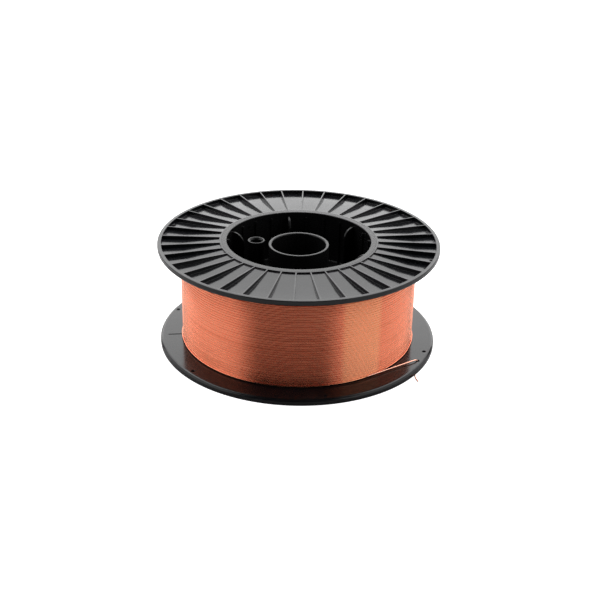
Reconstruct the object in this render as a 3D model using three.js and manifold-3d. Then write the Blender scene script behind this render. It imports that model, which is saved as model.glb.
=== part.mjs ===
// Large-bore plastic spool, wound full with copper-coated welding wire.
// Millimetres. The spool's axis is Z, and the origin is the centre of its lower face.

import * as THREE from 'three';
import { mergeVertices } from 'three/addons/utils/BufferGeometryUtils.js';
import Module from 'manifold-3d';

const wasm = await Module();
wasm.setup();

// Whole spool
const spoolHeight = 104;
const gap = 0.3; // between pieces that touch
const overlap = 0.4; // how far a rib starts inside the wall it stands on
const roundSides = 72; // sides of each large round surface

// Flange: a disc with a rim, a collar and radial ribs on its outer side
const flange = {
  radius: 135,
  depth: 6, // rim plane to the face that the wire meets
  rimWall: 4, // outer wall, down to the chamfer
  rimChamfer: 1.8,
  rimLand: 4,
  edge: 0.8,
  draft: 0.3,
  collarRadius: 76,
  pocketDepth: 3.7,
  pocketDepthAtCollar: 1.35,
  pocketSlopeRadius: 111,
};
const flangeRib = { count: 36, thickness: 1.3, drop: 0.15 };
const wireHole = { radius: 1.8, at: 129, sides: 16 };
const groove = { width: 1.6, depth: 0.8, outerRadius: 127.5 };

// Angles of the ribs and wire-end holes of each flange, in degrees
const upperFlangeAngles = { rib: 8.5, holes: [-16.5, 43.5, 103.5, 163.5, 223.5, 283.5, -25.2] };
const lowerFlangeAngles = { rib: 7.8, holes: [-18.2, 41.8, 101.8, 161.8, 221.8, 281.8, -27.2] };
const grooveAngle = -173.4;

// Core: two equal halves that meet at the middle of the spool and carry the flanges
const core = {
  innerRadius: 69.2,
  endRadius: 74.25, // the end that passes through the flange
  barrelRadius: 76, // the part that the wire is wound on
  webThickness: 2.35,
  edge: 0.8,
};
const gusset = { count: 6, angle: 39, thickness: 2, top: 4, curve: 12 };
const wallRib = { count: 24, angle: 9, width: 1.5, height: 1.5, top: 4.8 };
const startHole = { radius: 1.2, angle: 136.5, depth: 9, innerReach: 67, outerReach: 79, sides: 12 };

// Tubes through the core
const arbor = { bore: 26, mouth: 0.8, radius: 28.9, recess: 5 };
const drivePin = { bore: 5.5, mouth: 1.5, radius: 8.2, recess: 8.5, at: 44.5, angle: 159, sides: 24 };

// Wire
const wireDiameter = 1.2;
const packRadius = 113.2;

// The outer wire end: off the last turn, down through a hole, out under the rim
const tailRoute = [
  [65.4, -93.5, 8.0], [75.3, -86.6, 7.95], [85.1, -79.7, 7.9], [95.0, -72.8, 7.85],
  [104.0, -66.5, 7.8], [109.8, -62.4, 7.7], [112.2, -60.75, 7.55], [113.4, -59.9, 7.15],
  [114.3, -59.3, 6.2], [114.65, -59.05, 4.9], [114.65, -59.1, 3.7], [114.5, -59.75, 2.1],
  [114.2, -61.2, 1.0], [113.75, -63.2, 0.68], [113.2, -65.8, 0.65], [112.2, -70.5, 0.65],
  [111.2, -75.4, 0.65], [110.95, -80.0, 0.65], [111.6, -84.4, 0.65], [112.9, -88.6, 0.65],
];
const tailSteps = 44;
const rimNotch = { center: [112.2, -70.5], length: 16, width: 2.2, height: 1.7 };

// The inner wire end as [radius, distance along the wall]: through the wall, then bent along it
const startRoute = [
  [75.85, 0], [72.5, 0], [69.5, 0], [67.15, 0.75], [66.4, 2.5], [66.0, 7.2], [65.0, 12],
];
const startSteps = 16;
const wireSides = 8;

const degrees = Math.PI / 180;

// ---- solids and meshes

function toSolid(geometry) {
  const bare = geometry.index ? geometry.toNonIndexed() : geometry.clone();
  bare.deleteAttribute('normal');
  bare.deleteAttribute('uv');
  const merged = mergeVertices(bare, 1e-4);
  return new wasm.Manifold(new wasm.Mesh({
    numProp: 3,
    vertProperties: new Float32Array(merged.attributes.position.array),
    triVerts: new Uint32Array(merged.index.array),
  }));
}

function toGeometry(solid) {
  const mesh = solid.getMesh();
  const geometry = new THREE.BufferGeometry();
  geometry.setAttribute('position', new THREE.BufferAttribute(mesh.vertProperties, mesh.numProp));
  geometry.setIndex(new THREE.BufferAttribute(mesh.triVerts, 1));
  geometry.computeVertexNormals();
  return geometry;
}

// A closed profile of [radius, height] points, anticlockwise, turned about Z
function turned(profile, sides = roundSides) {
  const points = [...profile, profile[0]].map(([radius, height]) => new THREE.Vector2(radius, height));
  return toSolid(new THREE.LatheGeometry(points, sides).rotateX(Math.PI / 2));
}

// A box from one radius to another at an angle, between two heights
function radialBar(innerRadius, outerRadius, width, low, high, angle) {
  const bar = new THREE.BoxGeometry(outerRadius - innerRadius, width, high - low);
  bar.translate((innerRadius + outerRadius) / 2, 0, (low + high) / 2);
  return toSolid(bar.rotateZ(angle * degrees));
}

// An upright round bar at a radius and an angle
function uprightBar(radius, at, angle, low, high, sides) {
  const bar = new THREE.CylinderGeometry(radius, radius, high - low, sides);
  bar.rotateX(Math.PI / 2);
  bar.translate(at, 0, (low + high) / 2);
  return toSolid(bar.rotateZ(angle * degrees));
}

function wireAlong(points, steps) {
  const section = new THREE.Shape();
  section.absarc(0, 0, wireDiameter / 2, 0, 2 * Math.PI);
  const path = new THREE.CatmullRomCurve3(points.map((point) => new THREE.Vector3(...point)));
  return toSolid(new THREE.ExtrudeGeometry(section, {
    extrudePath: path, steps, curveSegments: wireSides / 2, bevelEnabled: false,
  }));
}

// A piece made outer side up, with its outer plane at zero, put on the spool's upper end
function atUpperEnd(solid) {
  return solid.translate([0, 0, spoolHeight]);
}

// The same piece turned over on to the lower end, about the horizontal line at an angle
function atLowerEnd(solid, angle) {
  return solid.rotate([180, 0, 0]).rotate([0, 0, 2 * angle]);
}

// ---- flanges

function flangeSolid({ rib, holes }) {
  const { radius, depth, rimWall, rimChamfer, rimLand, edge, draft, collarRadius } = flange;
  const floor = -flange.pocketDepth;
  const landInner = radius - rimLand;
  let body = turned([
    [core.endRadius + gap, -depth],
    [radius - rimChamfer, -depth],
    [radius, -rimWall],
    [radius, -edge],
    [radius - edge, 0],
    [landInner + draft, 0],
    [landInner, floor],
    [flange.pocketSlopeRadius, floor],
    [collarRadius + draft, -flange.pocketDepthAtCollar],
    [collarRadius, 0],
    [core.endRadius + gap, 0],
  ]);
  for (let i = 0; i < flangeRib.count; i += 1) {
    const angle = rib + (360 / flangeRib.count) * i;
    const low = floor - overlap;
    body = body.add(radialBar(collarRadius - overlap, landInner + overlap, flangeRib.thickness,
      low, -flangeRib.drop, angle));
  }
  for (const angle of holes) {
    body = body.subtract(uprightBar(wireHole.radius, wireHole.at, angle, -2 * depth, 1, wireHole.sides));
  }
  return body;
}

function upperFlange() {
  return atUpperEnd(flangeSolid(upperFlangeAngles));
}

// The lower flange is made turned over, so its angles are mirrored first
function lowerFlange() {
  const mirrored = {
    rib: -lowerFlangeAngles.rib,
    holes: lowerFlangeAngles.holes.map((angle) => -angle),
  };
  const wireFace = flange.depth;
  const slot = radialBar(core.endRadius, groove.outerRadius, groove.width,
    wireFace - groove.depth, wireFace + 1, grooveAngle);
  const { center, length, width, height } = rimNotch;
  const [from, to] = [tailRoute[13], tailRoute[16]];
  const heading = Math.atan2(to[1] - from[1], to[0] - from[0]);
  const notch = new THREE.BoxGeometry(length, width, 2 * height).rotateZ(heading);
  notch.translate(center[0], center[1], 0);
  return atLowerEnd(flangeSolid(mirrored), 0).subtract(slot).subtract(toSolid(notch));
}

// ---- core halves

function gussetSolid(angle, low) {
  const inner = core.innerRadius - gusset.curve;
  const outer = core.innerRadius + overlap;
  const outline = new THREE.Shape();
  outline.moveTo(inner, low);
  outline.lineTo(outer, low);
  outline.lineTo(outer, -gusset.top);
  outline.lineTo(core.innerRadius, -gusset.top);
  outline.absarc(core.innerRadius, -gusset.top - gusset.curve, gusset.curve, Math.PI / 2, Math.PI);
  outline.closePath();
  const plate = new THREE.ExtrudeGeometry(outline, {
    depth: gusset.thickness, bevelEnabled: false, curveSegments: 6,
  });
  plate.translate(0, 0, -gusset.thickness / 2).rotateX(Math.PI / 2);
  return toSolid(plate.rotateZ(angle * degrees));
}

function coreHalf() {
  const { innerRadius, endRadius, barrelRadius, webThickness, edge } = core;
  const middle = -spoolHeight / 2 + gap / 2;
  const webTop = middle + webThickness;
  const shoulder = -flange.depth - gap;
  const webInner = arbor.radius + gap;
  let body = turned([
    [webInner, middle],
    [barrelRadius, middle],
    [barrelRadius, shoulder],
    [endRadius, shoulder],
    [endRadius, 0],
    [innerRadius + edge, 0],
    [innerRadius, -edge],
    [innerRadius, webTop],
    [webInner, webTop],
  ]);
  const gussetStep = 360 / gusset.count;
  for (let i = 0; i < gusset.count; i += 1) {
    body = body.add(gussetSolid(gusset.angle + gussetStep * i, webTop - overlap));
  }
  for (let i = 0; i < wallRib.count; i += 1) {
    const angle = wallRib.angle + (360 / wallRib.count) * i;
    const onGusset = (angle - gusset.angle) % gussetStep === 0;
    if (!onGusset) {
      body = body.add(radialBar(innerRadius - wallRib.height, innerRadius + overlap, wallRib.width,
        webTop - overlap, -wallRib.top, angle));
    }
  }
  const pinHole = uprightBar(drivePin.radius + gap, drivePin.at, drivePin.angle,
    2 * middle, webTop + 1, drivePin.sides);
  const { innerReach, outerReach } = startHole;
  const wireWay = new THREE.CylinderGeometry(startHole.radius, startHole.radius,
    outerReach - innerReach, startHole.sides);
  wireWay.rotateZ(Math.PI / 2).translate((innerReach + outerReach) / 2, 0, -startHole.depth);
  return body.subtract(pinHole).subtract(toSolid(wireWay.rotateZ(startHole.angle * degrees)));
}

// ---- tubes and wire

function tube({ bore, mouth, radius, recess }, sides) {
  const high = spoolHeight - recess;
  return turned([
    [bore + mouth, recess],
    [radius, recess],
    [radius, high],
    [bore + mouth, high],
    [bore, high - mouth],
    [bore, recess + mouth],
  ], sides);
}

function drivePinSleeve() {
  const angle = drivePin.angle * degrees;
  return tube(drivePin, drivePin.sides)
    .translate([drivePin.at * Math.cos(angle), drivePin.at * Math.sin(angle), 0]);
}

function packRing(innerRadius, outerRadius) {
  const low = flange.depth + gap;
  const high = spoolHeight - low;
  return turned([[innerRadius, low], [outerRadius, low], [outerRadius, high], [innerRadius, high]]);
}

function innerLayers() {
  return packRing(core.barrelRadius + gap, packRadius - wireDiameter - gap);
}

function outerLayer() {
  return packRing(packRadius - wireDiameter, packRadius);
}

// The start hole of the lower half, where turning the core over has put it
function wireStartEnd() {
  const angle = 2 * drivePin.angle - startHole.angle;
  const points = startRoute.map(([radius, along]) => [radius, along, startHole.depth]);
  return wireAlong(points, startSteps).rotate([0, 0, angle]);
}

// ---- assembly

const plasticLook = { color: 0x2b2d30, roughness: 0.42, metalness: 0 };
const copperLook = { color: 0xc4714f, roughness: 0.35, metalness: 1 };
const tubeLook = { color: 0x1d1e20, roughness: 0.5, metalness: 0 };

const pieces = [
  ['upper_flange', upperFlange(), plasticLook],
  ['lower_flange', lowerFlange(), plasticLook],
  ['upper_core_half', atUpperEnd(coreHalf()), plasticLook],
  ['lower_core_half', atLowerEnd(coreHalf(), drivePin.angle), plasticLook],
  ['arbor_tube', tube(arbor, roundSides), tubeLook],
  ['drive_pin_sleeve', drivePinSleeve(), tubeLook],
  ['wire_inner_layers', innerLayers(), copperLook],
  ['wire_outer_layer', outerLayer(), copperLook],
  ['wire_start_end', wireStartEnd(), copperLook],
  ['wire_tail', wireAlong(tailRoute, tailSteps), copperLook],
];

const group = new THREE.Group();
for (const [name, solid, look] of pieces) {
  const mesh = new THREE.Mesh(toGeometry(solid), new THREE.MeshStandardMaterial(look));
  mesh.name = name;
  group.add(mesh);
}

export default group;
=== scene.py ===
import math

import bmesh
import bpy
from mathutils import Euler, Matrix, Quaternion, Vector


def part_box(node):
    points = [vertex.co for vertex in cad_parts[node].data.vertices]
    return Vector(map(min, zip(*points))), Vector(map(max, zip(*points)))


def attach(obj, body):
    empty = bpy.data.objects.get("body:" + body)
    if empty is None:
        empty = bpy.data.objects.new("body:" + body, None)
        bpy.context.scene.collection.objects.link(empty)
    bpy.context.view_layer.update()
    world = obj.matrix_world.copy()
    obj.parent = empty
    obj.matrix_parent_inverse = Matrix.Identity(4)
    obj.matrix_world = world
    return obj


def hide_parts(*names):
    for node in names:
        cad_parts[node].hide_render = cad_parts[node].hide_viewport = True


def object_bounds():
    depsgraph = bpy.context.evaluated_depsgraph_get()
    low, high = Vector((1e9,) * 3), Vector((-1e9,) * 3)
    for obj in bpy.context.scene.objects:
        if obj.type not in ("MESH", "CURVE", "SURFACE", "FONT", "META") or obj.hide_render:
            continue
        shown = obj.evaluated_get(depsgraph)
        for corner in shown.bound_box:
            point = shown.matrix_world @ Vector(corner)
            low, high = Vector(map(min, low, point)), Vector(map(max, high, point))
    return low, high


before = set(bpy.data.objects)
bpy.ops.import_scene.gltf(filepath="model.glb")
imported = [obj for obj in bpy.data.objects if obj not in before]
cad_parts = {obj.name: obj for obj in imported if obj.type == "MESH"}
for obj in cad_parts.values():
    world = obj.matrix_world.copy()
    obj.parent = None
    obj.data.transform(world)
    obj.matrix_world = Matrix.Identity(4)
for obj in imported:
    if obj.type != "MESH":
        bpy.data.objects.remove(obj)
cadLow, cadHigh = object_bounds()
print("frame loaded:", ", ".join(sorted(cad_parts)))

mm = 0.001
sharpAngle = 50
spoolHeight = cadHigh.z - cadLow.z
body = "root"


# camera: a little above the spool, looking down at it from the front

cameraSetup = {
    "place": (0, -0.9895, 0.526),
    "lens": 67.3,
    "sensor": 36,
    "lookDown": 0.45737,
    "turn": -0.0022,
    "roll": 0.01916,
}


def makeCamera(setup):
    data = bpy.data.cameras.new("camera")
    data.lens = setup["lens"]
    data.sensor_width = setup["sensor"]
    camera = bpy.data.objects.new("camera", data)
    bpy.context.scene.collection.objects.link(camera)
    camera.location = setup["place"]
    camera.rotation_mode = "QUATERNION"
    aim = Euler((math.pi / 2 - setup["lookDown"], 0, setup["turn"])).to_quaternion()
    camera.rotation_quaternion = aim @ Quaternion((0, 0, 1), setup["roll"])
    bpy.context.scene.camera = camera


# small tools for meshes

def addObject(name, data):
    piece = bpy.data.objects.new(name, data)
    bpy.context.scene.collection.objects.link(piece)
    return piece


def meshFrom(name, bm):
    mesh = bpy.data.meshes.new(name)
    bm.to_mesh(mesh)
    bm.free()
    return mesh


# applies an object's modifiers, or turns a curve into a mesh
def settled(piece):
    name = piece.name
    graph = bpy.context.evaluated_depsgraph_get()
    mesh = bpy.data.meshes.new_from_object(piece.evaluated_get(graph))
    data = piece.data
    bpy.data.objects.remove(piece)
    if data.users == 0:
        (bpy.data.curves if isinstance(data, bpy.types.Curve) else bpy.data.meshes).remove(data)
    mesh.name = name
    return addObject(name, mesh)


def polar(radius, degrees, height=0.0):
    angle = math.radians(degrees)
    return Vector((radius * math.cos(angle), radius * math.sin(angle), height))


# corners are (radius, height, rounding) round a closed outline, in millimetres
def outlineFace(bm, corners):
    byRounding = {}
    verts = []
    for radius, height, rounding in corners:
        vert = bm.verts.new((radius * mm, 0, height * mm))
        verts.append(vert)
        byRounding.setdefault(rounding, []).append(vert)
    bm.faces.new(verts)
    for rounding, found in byRounding.items():
        if rounding:
            bmesh.ops.bevel(bm, geom=found, offset=rounding * mm, segments=3, profile=0.5,
                            affect="VERTICES", material=-1)


# a closed outline turned all the way round the spool's axis
def turnedSolid(corners, steps):
    bm = bmesh.new()
    outlineFace(bm, corners)
    bmesh.ops.delete(bm, geom=bm.faces[:], context="FACES_ONLY")
    bmesh.ops.spin(bm, geom=bm.verts[:] + bm.edges[:], cent=(0, 0, 0), axis=(0, 0, 1),
                   angle=2 * math.pi, steps=steps, use_merge=True)
    bmesh.ops.remove_doubles(bm, verts=bm.verts, dist=0.001 * mm)
    bmesh.ops.recalc_face_normals(bm, faces=bm.faces)
    return bm


def roundEdges(bm, rounding, segments, least, wanted=None):
    limit = math.radians(least)
    sharp = [edge for edge in bm.edges if edge.is_manifold and edge.calc_face_angle(0) > limit]
    if wanted:
        sharp = [edge for edge in sharp if wanted(edge)]
    bmesh.ops.bevel(bm, geom=sharp, offset=rounding * mm, segments=segments, profile=0.5,
                    affect="EDGES", material=-1, clamp_overlap=True)


def joinInto(bm, other, matrix=None):
    mesh = meshFrom("part", other)
    if matrix:
        mesh.transform(matrix)
    bm.from_mesh(mesh)
    bpy.data.meshes.remove(mesh)


def solidWith(bm, cutterBm, operation):
    piece = addObject("body", meshFrom("body", bm))
    cutter = addObject("cutter", meshFrom("cutter", cutterBm))
    work = piece.modifiers.new("join", "BOOLEAN")
    work.operation = operation
    work.solver = "EXACT"
    work.object = cutter
    piece = settled(piece)
    bpy.data.objects.remove(cutter)
    result = bmesh.new()
    result.from_mesh(piece.data)
    bpy.data.objects.remove(piece)
    bmesh.ops.remove_doubles(result, verts=result.verts, dist=0.002 * mm)
    bmesh.ops.dissolve_degenerate(result, edges=result.edges[:], dist=0.001 * mm)
    return result


def finishPiece(name, bm, material, nodes):
    piece = addObject(name, meshFrom(name, bm))
    piece.data.polygons.foreach_set("use_smooth", [True] * len(piece.data.polygons))
    piece.data.set_sharp_from_angle(angle=math.radians(sharpAngle))
    shade = piece.modifiers.new("evenShade", "WEIGHTED_NORMAL")
    shade.keep_sharp = True
    shade.weight = 80
    placePiece(piece, material, nodes)


def placePiece(piece, material, nodes):
    piece.data.materials.append(material)
    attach(piece, body)
    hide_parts(*nodes)
    print("made", piece.name)


# small tools for materials

def newMaterial(name):
    material = bpy.data.materials.new(name)
    material.use_nodes = True
    tree = material.node_tree
    return material, tree, tree.nodes["Principled BSDF"]


def addNode(tree, kind, **settings):
    node = tree.nodes.new(kind)
    for key, value in settings.items():
        if key in node.inputs:
            node.inputs[key].default_value = value
        else:
            setattr(node, key, value)
    return node


def objectPlace(tree, scale=(1, 1, 1)):
    place = tree.nodes.new("ShaderNodeTexCoord")
    mapping = addNode(tree, "ShaderNodeMapping", Scale=scale)
    tree.links.new(place.outputs["Object"], mapping.inputs["Vector"])
    return mapping.outputs["Vector"]


def noise(tree, place, size, detail, roughness=0.5):
    node = addNode(tree, "ShaderNodeTexNoise", Scale=1 / size, Detail=detail, Roughness=roughness)
    tree.links.new(place, node.inputs["Vector"])
    return node.outputs["Fac"]


def ramp(tree, factor, stops):
    node = tree.nodes.new("ShaderNodeValToRGB")
    elements = node.color_ramp.elements
    while len(elements) < len(stops):
        elements.new(0.5)
    for element, (position, colour) in zip(elements, stops):
        element.position = position
        element.color = (*colour, 1)
    tree.links.new(factor, node.inputs["Fac"])
    return node.outputs["Color"]


def toRange(tree, value, fromLow, fromHigh, toLow, toHigh):
    node = tree.nodes.new("ShaderNodeMapRange")
    for key, number in (("From Min", fromLow), ("From Max", fromHigh), ("To Min", toLow), ("To Max", toHigh)):
        node.inputs[key].default_value = number
    tree.links.new(value, node.inputs["Value"])
    return node.outputs["Result"]


def maths(tree, operation, first, second):
    node = addNode(tree, "ShaderNodeMath", operation=operation)
    for socket, value in zip(node.inputs, (first, second)):
        if isinstance(value, bpy.types.NodeSocket):
            tree.links.new(value, socket)
        else:
            socket.default_value = value
    return node.outputs["Value"]


def bump(tree, height, distance, under=None):
    node = addNode(tree, "ShaderNodeBump", Distance=distance, Strength=1)
    tree.links.new(height, node.inputs["Height"])
    if under:
        tree.links.new(under, node.inputs["Normal"])
    return node.outputs["Normal"]


# black moulded plastic: slight sheen, fine texture, a few handling scuffs

def mouldedPlastic(name, look):
    material, tree, shader = newMaterial(name)
    place = objectPlace(tree)
    clouds = noise(tree, place, 0.035, 4)
    scuffs = noise(tree, objectPlace(tree, (1, 1, 3)), 0.004, 8, 0.72)
    grain = noise(tree, place, 0.0006, 2)
    dark, light = look["colours"]
    colour = ramp(tree, clouds, [(0.3, dark), (0.75, light)])
    tree.links.new(colour, shader.inputs["Base Color"])
    smooth, rough = look["roughness"]
    base = toRange(tree, clouds, 0.25, 0.75, smooth, rough)
    worn = toRange(tree, scuffs, 0.55, 0.8, 0, look["scuff"])
    tree.links.new(maths(tree, "ADD", base, worn), shader.inputs["Roughness"])
    waves = bump(tree, noise(tree, place, 0.018, 2), look["waves"] * mm)
    tree.links.new(bump(tree, grain, look["grain"] * mm, waves), shader.inputs["Normal"])
    shader.inputs["IOR"].default_value = look["ior"]
    return material


flangeLook = {
    "colours": ((0.004, 0.0043, 0.005), (0.0075, 0.008, 0.0095)),
    "roughness": (0.14, 0.18),
    "scuff": 0.14,
    "waves": 0.05,
    "grain": 0.004,
    "ior": 1.39,
}
coreLook = {
    "colours": ((0.004, 0.004, 0.0042), (0.007, 0.007, 0.0073)),
    "roughness": (0.22, 0.3),
    "scuff": 0.14,
    "waves": 0.05,
    "grain": 0.006,
    "ior": 1.34,
}


# bright copper coat on drawn steel wire: fine tone lines along it, and a painted sheen that makes it yellower
# in the sector where the turns cross

copperLook = {
    "colours": ((0.81, 0.25, 0.135), (0.87, 0.285, 0.16), (0.91, 0.32, 0.185)),
    # colour of the painted sheen in the crossover sector
    "paintedSheen": (0.9, 0.41, 0.22),
    "paintedSheenShare": 0.75,
    "paintedSheenFade": 1.2,
    "lineSpan": 0.2,
    "lineWidth": 0.0013,
    "roughness": (0.17, 0.23),
}


# the free end is painted paler than the wound wire: a painted highlight along it
endHighlightLook = {
    **copperLook,
    "colours": ((0.84, 0.4, 0.29), (0.88, 0.46, 0.34), (0.92, 0.52, 0.4)),
    "paintedSheenShare": 0,
    "roughness": (0.14, 0.2),
}


def copperCoat(name, look):
    material, tree, shader = newMaterial(name)
    span = look["lineSpan"]
    lines = noise(tree, objectPlace(tree, (1, 1, span / look["lineWidth"])), span, 2)
    patches = noise(tree, objectPlace(tree), 0.05, 2)
    mixed = maths(tree, "ADD", maths(tree, "MULTIPLY", lines, 0.65), maths(tree, "MULTIPLY", patches, 0.35))
    low, middle, high = look["colours"]
    coat = ramp(tree, mixed, [(0.35, low), (0.5, middle), (0.65, high)])
    # painted sheen: the base colour is mixed towards yellow inside the crossover sector
    paintedSheenMix = addNode(tree, "ShaderNodeMixRGB", Color2=(*look["paintedSheen"], 1))
    tree.links.new(paintedSheenMask(tree, look), paintedSheenMix.inputs["Fac"])
    tree.links.new(coat, paintedSheenMix.inputs["Color1"])
    tree.links.new(paintedSheenMix.outputs["Color"], shader.inputs["Base Color"])
    smooth, rough = look["roughness"]
    tree.links.new(toRange(tree, lines, 0.3, 0.7, smooth, rough), shader.inputs["Roughness"])
    shader.inputs["Metallic"].default_value = 1
    return material


# how far a spot is inside the sector where the turns cross; this mask places the painted sheen
def paintedSheenMask(tree, look):
    split = tree.nodes.new("ShaderNodeSeparateXYZ")
    tree.links.new(objectPlace(tree), split.inputs["Vector"])
    turned = maths(tree, "ARCTAN2", split.outputs["Y"], split.outputs["X"])
    fade = math.radians(look["paintedSheenFade"])
    start, end = math.radians(wireSize["crossFrom"]), math.radians(wireSize["crossTo"])
    after = toRange(tree, turned, start - fade, start + fade, 0, look["paintedSheenShare"])
    before = toRange(tree, turned, end - fade, end + fade, 1, 0)
    return maths(tree, "MULTIPLY", after, before)


# wire, with its end tucked through the lower flange

wireSize = {
    "diameter": 1.2,
    "sides": 3,
    "turns": 76,
    "stepsPerTurn": 108,
    "crossFrom": -68.5,
    "crossTo": -48,
    "crossRaise": 0.12,
    "alternateRaise": 0.11,
    "wander": 0.004,
    "exitAngle": -55,
    "climb": 24,
    "leave": 0.1,
}

# off the last turn, down through a hole in the flange and out under its rim
tailRoute = [
    (65.4, -93.5, 8.0), (75.3, -86.6, 7.95), (85.1, -79.7, 7.9), (95.0, -72.8, 7.85),
    (104.0, -66.5, 7.8), (109.8, -62.4, 7.7), (112.2, -60.75, 7.55), (113.4, -59.9, 7.15),
    (114.3, -59.3, 6.2), (114.65, -59.05, 4.9), (114.65, -59.1, 3.7), (114.5, -59.75, 2.1),
    (114.2, -61.2, 1.0), (113.75, -63.2, 0.68), (113.2, -65.8, 0.65), (112.2, -70.5, 0.65),
    (111.2, -75.4, 0.65), (110.95, -80.0, 0.65), (111.6, -84.4, 0.65), (112.9, -88.6, 0.65),
]


def wireCurve(name, route, size, smooth):
    data = bpy.data.curves.new(name, "CURVE")
    data.dimensions = "3D"
    data.twist_mode = "Z_UP"
    data.bevel_depth = size["diameter"] / 2 * mm
    data.bevel_resolution = size["sides"]
    data.use_fill_caps = True
    spline = data.splines.new("BEZIER" if smooth else "POLY")
    points = spline.bezier_points if smooth else spline.points
    points.add(len(route) - 1)
    for point, place in zip(points, route):
        if smooth:
            point.co = Vector(place) * mm
            point.handle_left_type = point.handle_right_type = "AUTO"
        else:
            point.co = (*(Vector(place) * mm), 1)
    spline.resolution_u = 6
    return addObject(name, data)


def makeTail(material):
    tail = wireCurve("wireTail", tailRoute, wireSize, True)
    placePiece(tail, material, ["wire_tail"])


def eased(share):
    share = min(1, max(0, share))
    return share * share * (3 - 2 * share)


# the outer layer runs down from the upper flange, one pitch lower each time it passes the crossover
def makeOuterLayer(material):
    low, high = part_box("wire_outer_layer")
    size = wireSize
    radius = high.x / mm - size["diameter"] / 2
    top = high.z / mm - size["diameter"] / 2
    bottom = low.z / mm + size["diameter"] / 2
    pitch = (top - bottom) / (size["turns"] - 1)
    sector = size["crossTo"] - size["crossFrom"]
    steps = size["stepsPerTurn"]
    route = []
    for step in range(size["turns"] * steps):
        turn, part = divmod(step, steps)
        degrees = size["crossTo"] + part * 360 / steps
        inSector = (part * 360 / steps - (360 - sector)) / sector
        drop = eased(inSector)
        hump = math.sin(math.pi * min(1, max(0, inSector)))
        turnRaise = size["alternateRaise"] * (1 if turn % 2 else -1) * (1 - 2 * drop)
        wander = size["wander"] * math.sin(turn * 2.4 + math.radians(degrees) * 2)
        reach = radius + turnRaise + wander + size["crossRaise"] * hump
        last = turn * pitch + drop * pitch
        if turn == size["turns"] - 1:
            last = turn * pitch
        route.append(polar(reach, degrees, top - last))
    route += lastTurn(radius, bottom, pitch)
    piece = closedCaps(settled(wireCurve("outerWireLayer", route, size, False)))
    piece.data.polygons.foreach_set("use_smooth", [True] * len(piece.data.polygons))
    placePiece(piece, material, ["wire_outer_layer"])


def closedCaps(piece):
    bm = bmesh.new()
    bm.from_mesh(piece.data)
    bmesh.ops.remove_doubles(bm, verts=bm.verts, dist=0.001 * mm)
    bm.to_mesh(piece.data)
    bm.free()
    return piece


# the wire then climbs on to the layer and lies in its lowest furrow for one turn
def lastTurn(radius, bottom, pitch):
    steps = wireSize["stepsPerTurn"]
    furrow = math.sqrt(3) / 2 * wireSize["diameter"]
    end = Vector(tailRoute[0])
    endReach = math.hypot(end.x, end.y)
    total = 360 + wireSize["exitAngle"] - wireSize["crossTo"]
    count = round(steps * total / 360)
    points = []
    for step in range(1, count + 1):
        share = step / count
        degrees = wireSize["crossTo"] + share * total
        climb = eased(share * total / wireSize["climb"])
        leave = eased((share - 1 + wireSize["leave"]) / wireSize["leave"])
        reach = radius + furrow * climb
        height = bottom + pitch / 2 * climb
        reach += (endReach - reach) * leave
        height += (end.z - height) * leave
        points.append(polar(reach, degrees, height))
    return points


# the inner end comes in through the barrel's wall and bends round beside it
startRoute = {
    "angle": 181.5,
    "insideWall": 0.15,
    "bend": ((72.5, 0), (69.5, 0), (67.2, 0.75), (66.4, 2.5), (66.0, 7.2), (65.0, 12)),
}


def makeStartEnd(material):
    low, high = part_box("wire_start_end")
    middle = (low.z + high.z) / 2 / mm
    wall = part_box("lower_core_half")[1].x / mm
    points = [(wall - startRoute["insideWall"], 0), *startRoute["bend"]]
    turn = Matrix.Rotation(math.radians(startRoute["angle"]), 3, "Z")
    route = [turn @ Vector((x, y, middle)) for x, y in points]
    piece = wireCurve("wireStartEnd", route, wireSize, True)
    placePiece(piece, material, ["wire_start_end"])


# flanges

flangeShape = {
    "steps": 216,
    "bore": 74.35,
    "depth": 6,
    "collar": 76,
    "slopeTo": 111,
    "land": 131.3,
    "pocketDepth": 3.7,
    "pocketAtCollar": 1.35,
    "draft": 0.3,
    "chamfer": 1.8,
    "ribs": 36,
    "rib": 1.3,
    "ribDrop": 0.15,
    "holeAt": 129,
    "hole": 1.8,
    "holeEase": 0.25,
    "landBand": 1.3,
    "underRounding": 0.15,
    "rimRoundings": (1.4, 0.7, 0.8),
    "boreRounding": 0.12,
    "pocketRounding": 0.22,
}
upperAngles = {"rib": 8.5, "holes": (-16.5, 43.5, 103.5, 163.5, 223.5, 283.5, -25.2)}
lowerAngles = {"rib": 7.8, "holes": (-18.2, 41.8, 101.8, 161.8, 221.8, 281.8, -27.2)}
grooveShape = {"angle": -173.4, "width": 1.6, "depth": 0.8, "end": 127.5}
notchShape = {"centre": (112.2, -70.5), "length": 16, "width": 2.2, "height": 1.7}


def radiusOf(place):
    return math.hypot(place.x, place.y)


# moves the columns of a turned ring so that each rib has its own width
def spaceColumns(bm, shape, ribAngle):
    pitch = 360 / shape["ribs"]
    perRib = shape["steps"] // shape["ribs"]
    for vert in bm.verts:
        radius = radiusOf(vert.co)
        column = round(math.degrees(math.atan2(vert.co.y, vert.co.x)) / 360 * shape["steps"])
        rib, place = divmod(column, perRib)
        edge = math.degrees(math.asin(shape["rib"] / 2 * mm / radius))
        spots = [0, edge] + [pitch * i / 4 for i in (1, 2, 3)] + [pitch - edge]
        vert.co = polar(radius, rib * pitch + spots[place] + ribAngle, vert.co.z)


def offRib(place, shape, ribAngle):
    pitch = 360 / shape["ribs"]
    away = (math.degrees(math.atan2(place.y, place.x)) - ribAngle + pitch / 2) % pitch - pitch / 2
    return radiusOf(place) * math.sin(math.radians(abs(away)))


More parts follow.
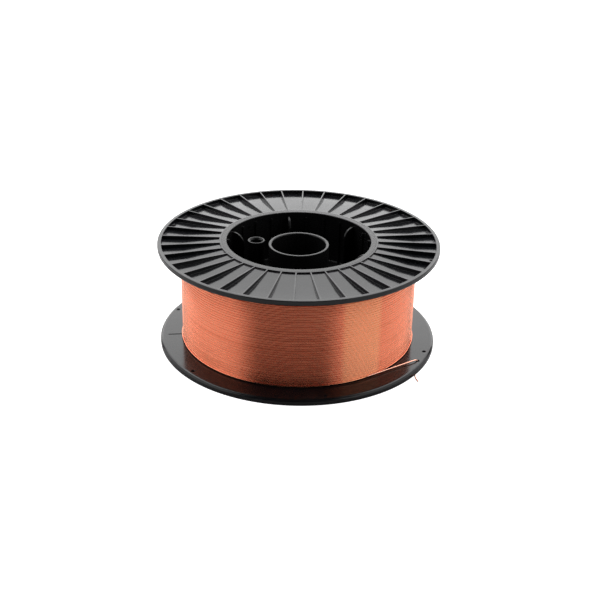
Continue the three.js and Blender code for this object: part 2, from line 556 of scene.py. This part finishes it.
def makeFlangeBody(shape, angles):
    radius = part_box("upper_flange")[1].x / mm
    depth = shape["depth"]
    land = shape["land"]
    under, side, over = shape["rimRoundings"]
    bm = turnedSolid([
        (shape["bore"], -depth, shape["underRounding"]),
        (radius - shape["chamfer"], -depth, under),
        (radius, -depth + shape["chamfer"] + 0.2, side),
        (radius, 0, over),
        (land, 0, 0), (land - shape["landBand"], 0, 0), (shape["slopeTo"], 0, 0), (shape["collar"] + 1, 0, 0),
        (shape["collar"], 0, 0),
        (shape["bore"], 0, shape["boreRounding"]),
    ], shape["steps"])
    spaceColumns(bm, shape, angles["rib"])
    inside = (shape["collar"] * mm, land * mm)
    ribHalf = shape["rib"] / 2 * mm
    pocket = []
    for face in bm.faces:
        middle = face.calc_center_median()
        if face.normal.z > 0.9 and inside[0] < radiusOf(middle) < inside[1]:
            if offRib(middle, shape, angles["rib"]) > ribHalf:
                pocket.append(face)
    margin = 0.5 * mm
    for vert in bm.verts:
        onRib = offRib(vert.co, shape, angles["rib"]) < ribHalf * 1.01
        betweenRings = inside[0] + margin < radiusOf(vert.co) < inside[1] - margin
        if abs(vert.co.z) < 1e-7 and betweenRings and onRib:
            vert.co.z -= shape["ribDrop"] * mm
    made = bmesh.ops.extrude_face_region(bm, geom=pocket)
    bmesh.ops.delete(bm, geom=pocket, context="FACES")
    slope = shape["slopeTo"] - shape["collar"]
    for vert in (item for item in made["geom"] if isinstance(item, bmesh.types.BMVert)):
        reach = radiusOf(vert.co) / mm
        share = min(1, (reach - shape["collar"]) / slope)
        fall = shape["pocketAtCollar"] + (shape["pocketDepth"] - shape["pocketAtCollar"]) * share
        vert.co.z = -fall * mm
        if reach > land - 0.1:
            vert.co.xy *= (land - shape["draft"]) / reach
    bmesh.ops.recalc_face_normals(bm, faces=bm.faces)
    slack = 0.1 * mm
    roundEdges(bm, shape["pocketRounding"], 2, 35, lambda edge: all(
        inside[0] - slack < radiusOf(vert.co) < inside[1] + slack and vert.co.z > -depth * mm + margin
        for vert in edge.verts))
    for vert in bm.verts:
        vert.co.z = min(vert.co.z, 0)  # no rounding stands above the rim
    return bm


# a drill with its mouth eased at both faces of the pocket floor
def holeCutters(shape, angles):
    cutters = bmesh.new()
    ease = shape["holeEase"]
    hole = shape["hole"]
    floor, face = -shape["pocketDepth"], -shape["depth"]
    for degrees in angles["holes"]:
        drill = bmesh.new()
        spots = [(0, face - 2), (hole + ease, face - 2), (hole + ease, face), (hole, face + ease),
                 (hole, floor - ease), (hole + ease, floor), (hole + ease, 1), (0, 1)]
        line = [drill.verts.new((radius * mm, 0, height * mm)) for radius, height in spots]
        for first, second in zip(line, line[1:]):
            drill.edges.new((first, second))
        bmesh.ops.spin(drill, geom=drill.verts[:] + drill.edges[:], cent=(0, 0, 0), axis=(0, 0, 1),
                       angle=2 * math.pi, steps=24, use_merge=True)
        bmesh.ops.remove_doubles(drill, verts=drill.verts, dist=0.001 * mm)
        bmesh.ops.recalc_face_normals(drill, faces=drill.faces)
        joinInto(cutters, drill, Matrix.Translation(polar(shape["holeAt"] * mm, degrees)))
    return cutters


def block(length, width, height, rounding):
    bm = bmesh.new()
    bmesh.ops.create_cube(bm, size=1)
    bmesh.ops.scale(bm, vec=(length * mm, width * mm, height * mm), verts=bm.verts)
    bmesh.ops.bevel(bm, geom=bm.edges[:], offset=rounding * mm, segments=2, profile=0.5,
                    affect="EDGES", material=-1)
    return bm


def makeUpperFlange(material):
    bm = makeFlangeBody(flangeShape, upperAngles)
    bm = solidWith(bm, holeCutters(flangeShape, upperAngles), "DIFFERENCE")
    bmesh.ops.translate(bm, vec=(0, 0, spoolHeight), verts=bm.verts)
    finishPiece("upperFlange", bm, material, ["upper_flange"])


# the lower flange is made the same way up and turned over, so its angles are mirrored
def makeLowerFlange(material):
    mirrored = {"rib": -lowerAngles["rib"], "holes": [-angle for angle in lowerAngles["holes"]]}
    bm = makeFlangeBody(flangeShape, mirrored)
    bm = solidWith(bm, holeCutters(flangeShape, mirrored), "DIFFERENCE")
    bmesh.ops.rotate(bm, cent=(0, 0, 0), matrix=Matrix.Rotation(math.pi, 3, "X"), verts=bm.verts)
    bm = solidWith(bm, lowerCutters(), "DIFFERENCE")
    finishPiece("lowerFlange", bm, material, ["lower_flange"])


def lowerCutters():
    cutters = bmesh.new()
    groove, notch = grooveShape, notchShape
    inner = flangeShape["bore"] - 1
    slot = block(groove["end"] - inner, groove["width"], 2 * groove["depth"], 0.3)
    place = polar((groove["end"] + inner) / 2 * mm, groove["angle"], flangeShape["depth"] * mm)
    turn = Matrix.Rotation(math.radians(groove["angle"]), 4, "Z")
    joinInto(cutters, slot, Matrix.Translation(place) @ turn)
    start, end = Vector(tailRoute[13]), Vector(tailRoute[16])
    heading = math.atan2(end.y - start.y, end.x - start.x)
    cut = block(notch["length"], notch["width"], 2 * notch["height"], 0.4)
    place = Vector((*notch["centre"], 0)) * mm
    joinInto(cutters, cut, Matrix.Translation(place) @ Matrix.Rotation(heading, 4, "Z"))
    return cutters


# core halves

coreShape = {
    "steps": 144,
    "inner": 69.2,
    "end": 74.25,
    "web": 2.35,
    "gap": 0.3,
    "gussets": 6,
    "gussetAngle": 39,
    "gusset": 2,
    "gussetRounding": 0.5,
    "gussetTop": 4,
    "gussetCurve": 12,
    "ribs": 24,
    "ribAngle": 9,
    "rib": 1.5,
    "ribDepth": 2.4,
    "ribStand": 0.3,
    "ribRounding": 0.12,
    "ribTop": 4.8,
    "overlap": 0.4,
    "pinHoleDepth": 10,
}
startHole = {"angle": 136.5, "radius": 1.2, "depth": 9, "length": 12, "inside": 3}


def gussetPlate(shape, low):
    bm = bmesh.new()
    inner, outer = shape["inner"] - shape["gussetCurve"], shape["inner"] + shape["overlap"]
    top, curve = -shape["gussetTop"], shape["gussetCurve"]
    arc = [(shape["inner"] + curve * math.cos(turn), top - curve + curve * math.sin(turn))
           for turn in (math.pi / 2 * (1 + i / 12) for i in range(13))]
    half = shape["gusset"] / 2
    outline = [(inner, low), (outer, low), (outer, top)] + arc
    face = bm.faces.new([bm.verts.new((x * mm, -half * mm, z * mm)) for x, z in outline])
    made = bmesh.ops.extrude_face_region(bm, geom=[face], use_keep_orig=True)
    verts = [item for item in made["geom"] if isinstance(item, bmesh.types.BMVert)]
    bmesh.ops.translate(bm, vec=(0, 2 * half * mm, 0), verts=verts)
    bmesh.ops.recalc_face_normals(bm, faces=bm.faces)
    roundEdges(bm, shape["gussetRounding"], 3, 60)
    return bm


# one half with its open end upwards at height zero
def makeCoreBody(shape, pinAngle):
    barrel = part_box("upper_core_half")[1].x / mm
    length = (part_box("upper_core_half")[1].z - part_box("upper_core_half")[0].z) / mm
    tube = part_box("arbor_tube")[1].x / mm
    shoulder = -flangeShape["depth"] - shape["gap"]
    webTop = -length + shape["web"]
    webInner = tube + shape["gap"]
    bm = turnedSolid([
        (webInner, -length, 0),
        (barrel, -length, 0),
        (barrel, shoulder, 0.2),
        (shape["end"], shoulder, 0.2),
        (shape["end"], 0, 0.12),
        (shape["inner"], 0, 0.7),
        (shape["inner"], webTop, 1.2),
        (webInner, webTop, 0.2),
    ], shape["steps"])
    ribs = bmesh.new()
    gussetStep = 360 / shape["gussets"]
    for i in range(shape["gussets"]):
        turn = Matrix.Rotation(math.radians(shape["gussetAngle"] + i * gussetStep), 4, "Z")
        joinInto(ribs, gussetPlate(shape, webTop - shape["overlap"]), turn)
    low, high = webTop - shape["overlap"], -shape["ribTop"]
    for i in range(shape["ribs"]):
        degrees = shape["ribAngle"] + i * 360 / shape["ribs"]
        if (degrees - shape["gussetAngle"]) % gussetStep:
            bar = block(shape["ribDepth"], shape["rib"], high - low, shape["ribRounding"])
            middle = Vector((shape["inner"] - shape["ribStand"], 0, (high + low) / 2)) * mm
            bmesh.ops.translate(bar, vec=middle, verts=bar.verts)
            joinInto(ribs, bar, Matrix.Rotation(math.radians(degrees), 4, "Z"))
    bm = solidWith(bm, ribs, "UNION")
    return solidWith(bm, coreCutters(shape, length, barrel, pinAngle), "DIFFERENCE")


def coreCutters(shape, length, barrel, pinAngle):
    low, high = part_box("drive_pin_sleeve")
    at = radiusOf((low + high) / 2)
    cutters = bmesh.new()
    pinHole = roundDrill((high.x - low.x) / 2 + shape["gap"] * mm, shape["pinHoleDepth"] * mm, 48)
    joinInto(cutters, pinHole, Matrix.Translation(polar(at, pinAngle, -length * mm)))
    hole = startHole
    drill = roundDrill(hole["radius"] * mm, hole["length"] * mm, 16)
    spot = Vector((barrel - hole["inside"], 0, -hole["depth"])) * mm
    turn = Matrix.Rotation(math.radians(hole["angle"]), 4, "Z")
    joinInto(cutters, drill, turn @ Matrix.Translation(spot) @ Matrix.Rotation(math.pi / 2, 4, "Y"))
    return cutters


def roundDrill(radius, depth, sides):
    drill = bmesh.new()
    bmesh.ops.create_cone(drill, cap_ends=True, segments=sides, radius1=radius, radius2=radius, depth=depth)
    return drill


def makeCore(material):
    low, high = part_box("drive_pin_sleeve")
    middle = (low + high) / 2
    pin = math.degrees(math.atan2(middle.y, middle.x))
    bm = makeCoreBody(coreShape, pin)
    lower = bm.copy()
    bmesh.ops.translate(bm, vec=(0, 0, spoolHeight), verts=bm.verts)
    finishPiece("upperCoreHalf", bm, material, ["upper_core_half"])
    turn = Matrix.Rotation(math.radians(2 * pin), 3, "Z") @ Matrix.Rotation(math.pi, 3, "X")
    bmesh.ops.rotate(lower, cent=(0, 0, 0), matrix=turn, verts=lower.verts)
    finishPiece("lowerCoreHalf", lower, material, ["lower_core_half"])


# tubes: a flat ring at each end, and a mouth that eases into the bore

arborShape = {"node": "arbor_tube", "bore": 26, "mouth": 0.8, "rounding": 0.35, "steps": 96}
sleeveShape = {"node": "drive_pin_sleeve", "bore": 5.5, "mouth": 1.5, "rounding": 0.3, "steps": 48}


def makeTube(name, shape, material):
    low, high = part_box(shape["node"])
    radius = (high.x - low.x) / 2 / mm
    bottom, top = low.z / mm, high.z / mm
    bore, mouth, rounding = shape["bore"], shape["mouth"], shape["rounding"]
    bm = turnedSolid([
        (bore + mouth, bottom, rounding), (radius, bottom, 0.4), (radius, top, 0.4),
        (bore + mouth, top, rounding), (bore, top - mouth, rounding), (bore, bottom + mouth, rounding),
    ], shape["steps"])
    middle = (low + high) / 2
    bmesh.ops.translate(bm, vec=(middle.x, middle.y, 0), verts=bm.verts)
    finishPiece(name, bm, material, [shape["node"]])


# studio: pale round floor, soft lights behind, above and at each side, and a dim room

studio = {
    "floorSize": 12,
    "floorEdge": 0.1345,
    "wallHeight": 8,
    "floorColour": (0.55, 0.55, 0.55),
    "floorGlow": 1.05,
    "floorRoughness": 0.9,
    "floorShine": 0.1,
    "room": 0.04,
    "lights": (
        # name, degrees round from the camera's side, distance, height, width, length, radiance
        ("backLow", 180, 2.6, 0.5, 4.6, 1.0, 1.5),
        ("backHigh", 180, 2.6, 1.75, 4.6, 1.7, 1.95),
        ("topLight", 180, 0.9, 2.3, 3.6, 1.8, 2.8),
        ("leftLight", -92, 1.7, 0.9, 3.1, 1.9, 0.95),
        ("rightLight", 84, 1.7, 0.9, 3.7, 1.9, 0.93),
    ),
}


def makeStudio(setup):
    scene = bpy.context.scene
    scene.view_settings.view_transform = "Standard"
    world = bpy.data.worlds.new("room")
    scene.world = world
    world.use_nodes = True
    world.node_tree.nodes["Background"].inputs["Color"].default_value = (1, 1, 1, 1)
    world.node_tree.nodes["Background"].inputs["Strength"].default_value = setup["room"]
    makeFloor(setup)
    for name, azimuth, distance, height, width, length, radiance in setup["lights"]:
        data = bpy.data.lights.new(name, "AREA")
        data.shape = "RECTANGLE"
        data.size = width
        data.size_y = length
        data.energy = radiance * 4 * width * length
        light = addObject(name, data)
        light.location = polar(distance, azimuth - 90, height)
        light.rotation_mode = "QUATERNION"
        light.rotation_quaternion = (Vector((0, 0, 0.05)) - light.location).to_track_quat("-Z", "Y")
        light.visible_camera = False


# the paper that is seen glows, so it stays white up to the spool; the grey one just below it isn't
# seen, but it is lit and reflected; both stop at the spool's edge
def makeFloor(setup):
    edge, size, wall = setup["floorEdge"], setup["floorSize"], setup["wallHeight"]
    makePaper("floorReflected", [(edge, -0.0002), (size, -0.0002)]).visible_camera = False
    seen = makePaper("floorSeen", [(edge, -0.0001), (size, -0.0001), (size, wall)])
    glow = seen.data.materials[0].node_tree.nodes["Principled BSDF"]
    glow.inputs["Emission Color"].default_value = (1, 1, 1, 1)
    glow.inputs["Emission Strength"].default_value = setup["floorGlow"]
    seen.visible_glossy = False
    seen.visible_diffuse = False
    seen.visible_shadow = False


# a line of (radius, height) spots turned about the spool's axis
def makePaper(name, line):
    bm = bmesh.new()
    verts = [bm.verts.new((radius, 0, height)) for radius, height in line]
    edges = [bm.edges.new(pair) for pair in zip(verts, verts[1:])]
    bmesh.ops.spin(bm, geom=verts + edges, cent=(0, 0, 0), axis=(0, 0, 1), angle=2 * math.pi,
                   steps=144, use_merge=True)
    bmesh.ops.remove_doubles(bm, verts=bm.verts, dist=0.001 * mm)
    bmesh.ops.recalc_face_normals(bm, faces=bm.faces)
    paper = addObject(name, meshFrom(name, bm))
    material, _, shader = newMaterial(name + "Paper")
    shader.inputs["Base Color"].default_value = (*studio["floorColour"], 1)
    shader.inputs["Roughness"].default_value = studio["floorRoughness"]
    shader.inputs["Specular IOR Level"].default_value = studio["floorShine"]
    paper.data.materials.append(material)
    return paper


makeCamera(cameraSetup)
copper = copperCoat("copperCoat", copperLook)
makeTail(copperCoat("endHighlightCopper", endHighlightLook))
print("camera and wire end ready")

flangePlastic = mouldedPlastic("flangePlastic", flangeLook)
corePlastic = mouldedPlastic("corePlastic", coreLook)

makeUpperFlange(flangePlastic)
makeLowerFlange(flangePlastic)
makeCore(corePlastic)
makeTube("arborTube", arborShape, corePlastic)
makeTube("drivePinSleeve", sleeveShape, corePlastic)
makeOuterLayer(copper)
makeStartEnd(copper)
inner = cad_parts["wire_inner_layers"]
inner.data.materials.clear()
inner.data.materials.append(copper)
makeStudio(studio)
